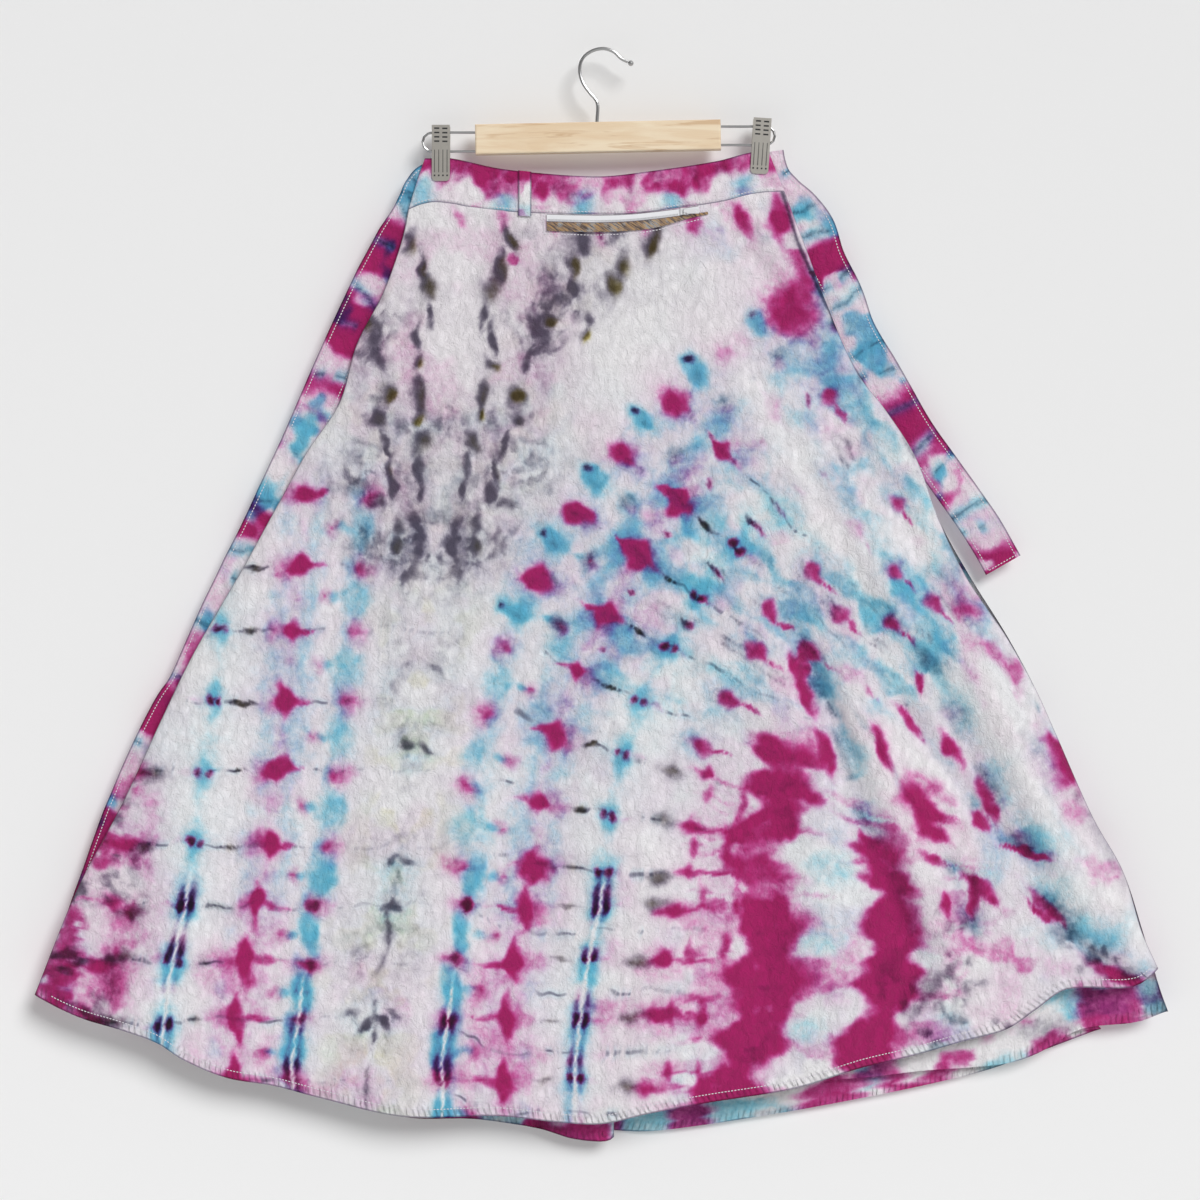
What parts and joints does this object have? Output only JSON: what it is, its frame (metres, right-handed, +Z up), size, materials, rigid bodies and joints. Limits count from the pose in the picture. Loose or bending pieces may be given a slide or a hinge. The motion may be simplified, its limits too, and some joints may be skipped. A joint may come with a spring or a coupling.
{
  "type": "wrap skirt on a clip hanger",
  "caption": "Calf-length flared cotton wrap skirt, tie-dyed, with waistband, long ties, a belt loop and a zip pocket, hung flat by clips from a wooden-bar hanger.",
  "frame": {"origin": "underside of the top of the hanger's hook, where a nail or rail carries it", "axes": "+X to the viewer's right across the skirt, +Y from the viewer towards the wall behind, +Z up"},
  "size_m": [1.1362, 0.0407, 1.0949],
  "materials": {
    "dyed_cotton": "matte plain-weave cotton, white ground dyed magenta, cyan and grey-violet",
    "zip_tape": "matte woven tape, white",
    "pocket_cloth": "matte cotton, bias cut, dyed brown and grey",
    "zip_metal": "white lacquer, slightly worn",
    "steel_wire": "bright drawn wire",
    "nickel": "satin nickel plate",
    "pine": "smooth pale pine, clear lacquer"
  },
  "bodies": {
    "root": {"waistband": "dyed_cotton", "front_panel": "dyed_cotton", "inner_wrap_panel": "dyed_cotton", "outer_wrap_panel": "dyed_cotton", "left_tie": "dyed_cotton", "right_tie": "dyed_cotton", "belt_loop": "dyed_cotton", "zip_tape_upper": "zip_tape", "zip_tape_lower": "pocket_cloth", "zip_slider": "zip_metal", "hook": "steel_wire", "hook_ball": "steel_wire", "hanger_bar": "pine", "rail_left": "steel_wire", "rail_right": "steel_wire", "clip_left_front": "nickel", "clip_left_back": "nickel", "clip_left_spring": "steel_wire", "clip_right_front": "nickel", "clip_right_back": "nickel", "clip_right_spring": "steel_wire"},
    "pull": {"zip_pull": "zip_metal"}
  },
  "joints": [
    {"name": "pull_flip", "type": "hinge", "parent": "root", "child": "pull", "pos_m": [0.0805, -0.00936, -0.1626], "axis": [0, 0, -1], "range_deg": [0, 180]}
  ]
}
